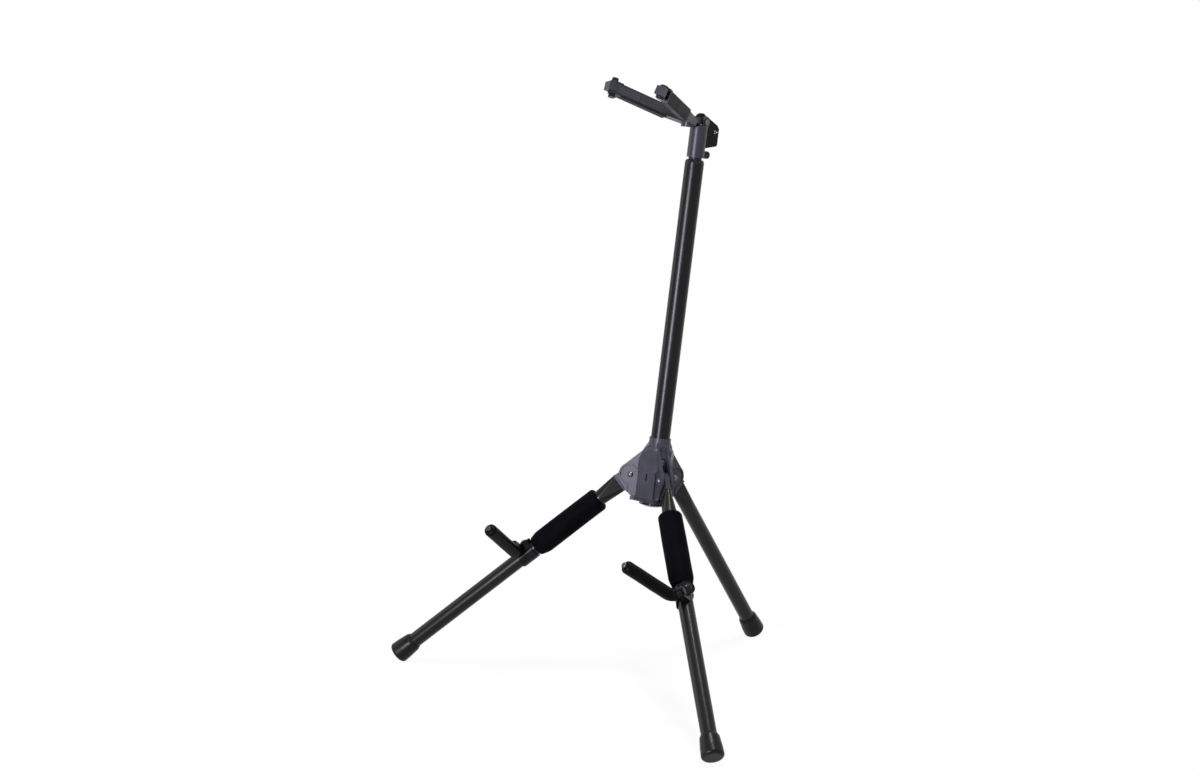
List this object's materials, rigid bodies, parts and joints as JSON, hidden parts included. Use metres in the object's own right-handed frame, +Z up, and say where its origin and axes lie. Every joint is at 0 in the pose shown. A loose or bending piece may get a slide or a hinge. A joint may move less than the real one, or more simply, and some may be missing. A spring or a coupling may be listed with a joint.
{
  "type": "guitar stand",
  "caption": "Folding tripod guitar stand: leaning tubular mast on a moulded hub, foam-sleeved front legs with folding body hooks, and a self-closing padded neck yoke.",
  "frame": {"origin": "on the floor, below the middle of the stand's overall box", "axes": "+Z up, the two front legs and the yoke arms point to -Y, the rear leg to +Y, X across"},
  "size_m": [0.6426, 0.4932, 0.8809],
  "materials": {
    "nylon": "satin charcoal glass-filled nylon",
    "plate_nylon": "satin charcoal nylon",
    "steel_dark": "dark zinc-plated steel",
    "washer_nylon": "natural nylon",
    "mast_paint": "gloss black powder coat",
    "leg_anodised": "black anodised, satin",
    "cap_plastic": "black, glossy",
    "red_plastic": "red",
    "spring_steel": "bright spring steel",
    "foam": "matt black closed-cell foam",
    "foot_rubber": "black rubber with a light sheen",
    "clamp_plastic": "black nylon",
    "rod_steel": "bronzed steel rod",
    "hook_rubber": "matt black rubber tube",
    "inner_paint": "black satin",
    "head_nylon": "satin charcoal nylon",
    "fork_nylon": "grey-black satin nylon",
    "lever_plastic": "black nylon",
    "gate_nylon": "dark grey satin nylon",
    "knob_plastic": "black"
  },
  "bodies": {
    "hub": {"hub_shell": "nylon", "hub_base_plate": "plate_nylon", "base_screws": "steel_dark", "leg_rivets": "steel_dark", "pivot_washers": "washer_nylon", "mast_tube": "mast_paint", "mast_screws": "steel_dark", "mast_cap_bush": "cap_plastic", "lock_spring": "spring_steel"},
    "lock": {"lock_button": "cap_plastic", "lock_slider": "red_plastic"},
    "leg_front_right": {"tongue_front_right": "nylon", "tube_front_right": "leg_anodised", "foam_front_right": "foam", "foot_front_right": "foot_rubber", "clamp_right": "clamp_plastic", "clamp_bolt_right": "steel_dark"},
    "leg_front_left": {"tongue_front_left": "nylon", "tube_front_left": "leg_anodised", "foam_front_left": "foam", "foot_front_left": "foot_rubber", "clamp_left": "clamp_plastic", "clamp_bolt_left": "steel_dark"},
    "leg_rear": {"tongue_rear": "nylon", "tube_rear": "leg_anodised", "foot_rear": "foot_rubber"},
    "hook_right": {"hook_rod_right": "rod_steel", "hook_rubber_right": "hook_rubber", "hook_cap_right": "clamp_plastic"},
    "hook_left": {"hook_rod_left": "rod_steel", "hook_rubber_left": "hook_rubber", "hook_cap_left": "clamp_plastic"},
    "riser": {"inner_tube": "inner_paint", "grip_plug": "washer_nylon"},
    "head": {"yoke_head": "head_nylon", "yoke_pin": "steel_dark"},
    "knob": {"head_knob": "knob_plastic"},
    "fork": {"yoke_fork": "fork_nylon", "yoke_lever": "lever_plastic", "yoke_spring": "spring_steel", "arm_rubber_right": "hook_rubber", "arm_rubber_left": "hook_rubber", "gate_pins": "steel_dark"},
    "gate_right": {"gate_right": "gate_nylon"},
    "gate_left": {"gate_left": "gate_nylon"},
    "pull_rod_right": {"pull_rod_right": "steel_dark"},
    "pull_rod_left": {"pull_rod_left": "steel_dark"}
  },
  "joints": [
    {"name": "leg_fold_front_right", "type": "hinge", "parent": "hub", "child": "leg_front_right", "pos_m": [0.03144, -0.02186, 0.301], "axis": [-0.5, -0.8541, 0.1429], "range_deg": [0, 130]},
    {"name": "leg_fold_front_left", "type": "hinge", "parent": "hub", "child": "leg_front_left", "pos_m": [-0.03144, -0.02186, 0.301], "axis": [-0.5, 0.8541, -0.1429], "range_deg": [0, 130]},
    {"name": "leg_fold_rear", "type": "hinge", "parent": "hub", "child": "leg_rear", "pos_m": [0, 0.03184, 0.29201], "axis": [1, 0, 0], "range_deg": [0, 130]},
    {"name": "leg_lock_push", "type": "slide", "parent": "hub", "child": "lock", "axis": [0, 0.165, 0.9863], "range_m": [0, 0.002], "stiffness_N_per_m": 1500, "springref_m": -0.002, "deforming": ["lock_spring"]},
    {"name": "hook_fold_right", "type": "hinge", "parent": "leg_front_right", "child": "hook_right", "pos_m": [0.15752, -0.13668, 0.18325], "axis": [0.7906, 0.3605, 0.495], "range_deg": [0, 90]},
    {"name": "hook_fold_left", "type": "hinge", "parent": "leg_front_left", "child": "hook_left", "pos_m": [-0.15752, -0.13668, 0.18325], "axis": [0.7906, -0.3605, -0.495], "range_deg": [0, 90]},
    {"name": "height_slide", "type": "slide", "parent": "hub", "child": "riser", "axis": [0, 0.165, 0.9863], "range_m": [0, 0.15]},
    {"name": "yoke_swivel", "type": "hinge", "parent": "riser", "child": "head", "pos_m": [0, 0.07345, 0.76057], "axis": [0, 0.165, 0.9863], "range_deg": [-90, 90]},
    {"name": "clamp_knob_turn", "type": "hinge", "parent": "head", "child": "knob", "pos_m": [0, 0.08688, 0.7639], "axis": [0, 0.9863, -0.165], "continuous": true},
    {"name": "yoke_tilt", "type": "hinge", "parent": "head", "child": "fork", "pos_m": [0, 0.08795, 0.81086], "axis": [1, 0, 0], "range_deg": [0, 10], "stiffness_Nm_per_rad": 2, "springref_deg": -17.19},
    {"name": "gate_swing_right", "type": "hinge", "parent": "fork", "child": "gate_right", "pos_m": [0.0458, -0.05315, 0.86588], "axis": [0.1195, 0.4504, 0.8848], "range_deg": [0, 70]},
    {"name": "gate_swing_left", "type": "hinge", "parent": "fork", "child": "gate_left", "pos_m": [-0.0458, -0.05315, 0.86588], "axis": [0.1195, -0.4504, -0.8848], "range_deg": [0, 70]},
    {"name": "pull_rod_slide_right", "type": "slide", "parent": "fork", "child": "pull_rod_right", "axis": [-0.3072, 0.8642, -0.3985], "range_m": [0, 0.006]},
    {"name": "pull_rod_slide_left", "type": "slide", "parent": "fork", "child": "pull_rod_left", "axis": [0.3072, 0.8642, -0.3985], "range_m": [0, 0.006]}
  ],
  "couplings": [
    {"joint": "gate_swing_right", "follows": "yoke_tilt", "ratio": 7},
    {"joint": "gate_swing_left", "follows": "yoke_tilt", "ratio": 7},
    {"joint": "pull_rod_slide_right", "follows": "yoke_tilt", "m_per_rad": 0.0343},
    {"joint": "pull_rod_slide_left", "follows": "yoke_tilt", "m_per_rad": 0.0343}
  ]
}
